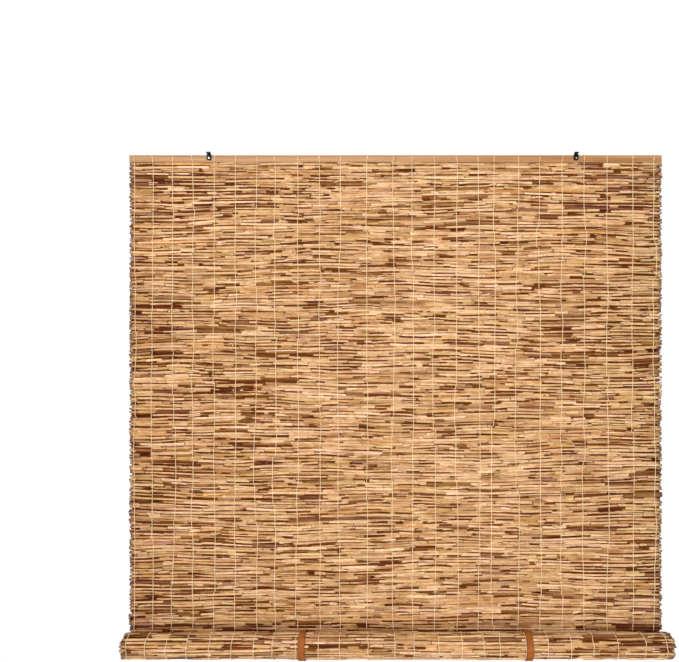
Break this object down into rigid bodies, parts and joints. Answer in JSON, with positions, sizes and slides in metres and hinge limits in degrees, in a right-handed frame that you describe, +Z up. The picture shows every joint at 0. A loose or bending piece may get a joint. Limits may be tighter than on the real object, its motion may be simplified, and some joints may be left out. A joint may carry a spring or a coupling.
{
  "type": "reed roll up blind",
  "caption": "Roll up blind of dry reeds bound by warp threads, hung from a bamboo rail on steel hooks, its lower end rolled and held by leather straps.",
  "frame": {"origin": "on the line through the seats of both hanging hooks, at the middle of the blind's width", "axes": "+X right along the head rail as seen from the front, +Y away from the viewer, +Z up"},
  "size_m": [0.9091, 0.0521, 0.8489],
  "materials": {
    "bamboo": "satin",
    "reed": "satin",
    "cotton_thread": "matte",
    "black_steel": "satin",
    "screw_steel": "satin",
    "brown_leather": "satin",
    "snap_metal": "satin"
  },
  "bodies": {
    "hung_part": {"head_rail": "bamboo", "hook_left": "black_steel", "hook_right": "black_steel", "hook_screw_left": "screw_steel", "hook_screw_right": "screw_steel", "reed_mat": "reed", "warp_threads": "cotton_thread"},
    "strap_loops": {"strap_left": "brown_leather", "strap_right": "brown_leather", "snap_stud_left": "snap_metal", "snap_stud_right": "snap_metal", "snap_cap_left": "snap_metal", "snap_cap_right": "snap_metal"},
    "rolled_part": {"reed_roll": "reed", "roll_threads": "cotton_thread", "bottom_rail": "bamboo"}
  },
  "joints": [
    {"name": "roll_lift", "type": "slide", "parent": "hung_part", "child": "strap_loops", "axis": [0, 0, 1], "range_m": [0, 0.7384], "deforming": ["reed_mat", "warp_threads"]},
    {"name": "roll_turn", "type": "hinge", "parent": "strap_loops", "child": "rolled_part", "pos_m": [0, -0.0149, -0.82225], "axis": [1, 0, 0], "range_deg": [-1440, 0]}
  ],
  "couplings": [
    {"joint": "roll_turn", "follows": "roll_lift", "rad_per_m": -34.036}
  ]
}
